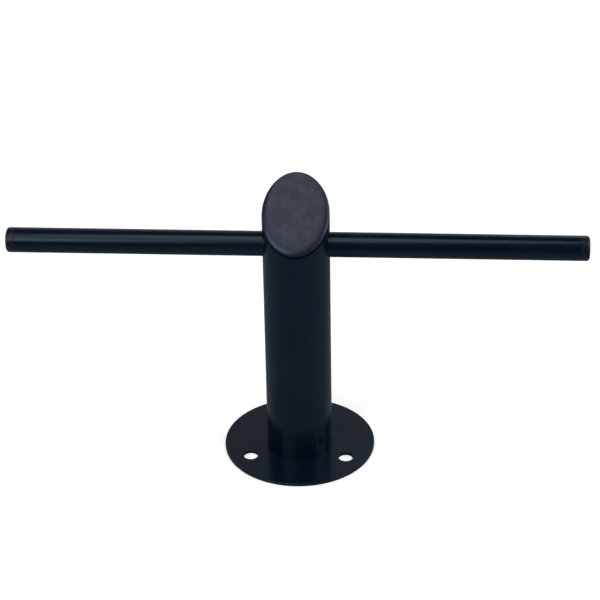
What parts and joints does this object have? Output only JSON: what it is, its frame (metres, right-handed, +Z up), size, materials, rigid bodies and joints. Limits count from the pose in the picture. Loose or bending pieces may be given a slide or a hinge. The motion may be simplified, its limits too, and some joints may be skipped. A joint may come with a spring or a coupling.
{
  "type": "razor stand",
  "caption": "Screw-down T-shaped stand: a slant-topped post on a round flange, with one straight bar through it for hanging safety razors.",
  "frame": {"origin": "centre of the flange's underside", "axes": "+X along the bar, -Y to the front, which the slanted cap faces, +Z up the post"},
  "size_m": [0.275, 0.074, 0.1441],
  "materials": {
    "satin_black_coating": "satin black coating on steel",
    "brushed_black_coating": "brushed steel under a satin black coating",
    "coated_weld": "weld bead under the same black coating",
    "black_plug_plastic": "satin moulded black"
  },
  "bodies": {
    "root": {"base_flange": "satin_black_coating", "flange_weld": "coated_weld", "post_tube": "satin_black_coating", "cross_bar": "satin_black_coating", "bar_weld_left": "coated_weld", "bar_weld_right": "coated_weld", "slant_cap": "brushed_black_coating", "cap_weld": "coated_weld", "bar_end_plug_left": "black_plug_plastic", "bar_end_plug_right": "black_plug_plastic"}
  },
  "joints": []
}
